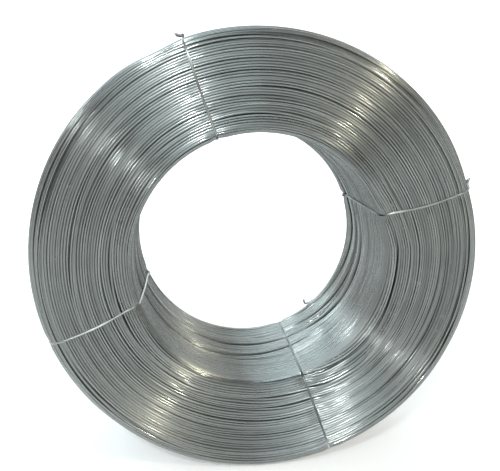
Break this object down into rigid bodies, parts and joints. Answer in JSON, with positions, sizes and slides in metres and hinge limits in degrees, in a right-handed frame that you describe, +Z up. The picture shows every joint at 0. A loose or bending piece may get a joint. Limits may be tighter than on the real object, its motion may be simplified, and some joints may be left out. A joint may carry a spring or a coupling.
{
  "type": "coil of galvanised steel wire",
  "caption": "Round coil of bright galvanised steel wire with an open bore, held by thin wire ties round its section.",
  "frame": {"origin": "lowest point of the rim, at mid-width, on the floor", "axes": "+Y along the coil's axis, from the front end towards the back end; +Z up; the front end faces -Y as in the picture"},
  "size_m": [0.36, 0.14, 0.36],
  "materials": {
    "galvanised_wire": "bright drawn zinc, satin",
    "tie_wire": "drawn zinc, slightly dull"
  },
  "bodies": {
    "root": {"wire_coil": "galvanised_wire", "tie_wire_1": "tie_wire", "tie_wire_2": "tie_wire", "tie_wire_3": "tie_wire", "tie_wire_4": "tie_wire"}
  },
  "joints": []
}
